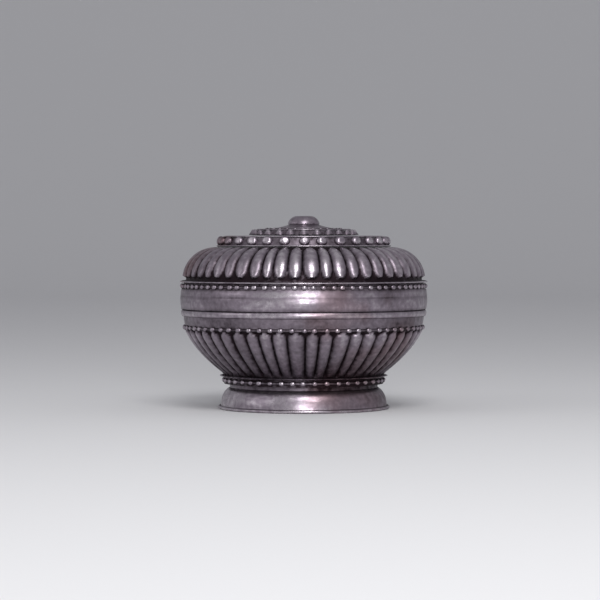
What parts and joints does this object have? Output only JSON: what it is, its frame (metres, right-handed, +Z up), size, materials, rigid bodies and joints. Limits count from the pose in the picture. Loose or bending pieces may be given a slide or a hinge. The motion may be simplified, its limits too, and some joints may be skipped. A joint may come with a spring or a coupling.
{
  "type": "lime box",
  "caption": "Footed round silver lime box with a fluted bowl and a petalled, knobbed lid that lifts straight off.",
  "frame": {"origin": "centre of the foot, on the surface that the box stands on", "axes": "+Z up through the knob, -Y towards the front of the box"},
  "size_m": [0.06, 0.06, 0.0466],
  "materials": {
    "chased_silver": "chased, tarnished in the grooves",
    "plain_silver": "hammered and worn",
    "wire_silver": "worn bright on the crests"
  },
  "bodies": {
    "box": {"foot_ring": "plain_silver", "foot_edge_wire": "wire_silver", "foot_bead_wire": "wire_silver", "neck_wire": "wire_silver", "bowl": "chased_silver", "bowl_bead_wire": "wire_silver", "bowl_band": "plain_silver", "mouth_wire": "wire_silver", "seat_collar": "plain_silver"},
    "lid": {"lid_band": "plain_silver", "lid_bead_wire": "wire_silver", "shoulder_wire": "wire_silver", "lid_shoulder": "chased_silver", "boss_tier_foot_wire": "wire_silver", "boss_tier": "chased_silver", "boss_tier_rim_wire": "wire_silver", "point_tier": "chased_silver", "point_tier_rim_wire": "wire_silver", "granule_wire": "wire_silver", "knob_collar": "plain_silver", "knob": "plain_silver"}
  },
  "joints": [
    {"name": "lid_lift", "type": "slide", "parent": "box", "child": "lid", "axis": [0, 0, 1], "range_m": [0, 0.04]}
  ]
}
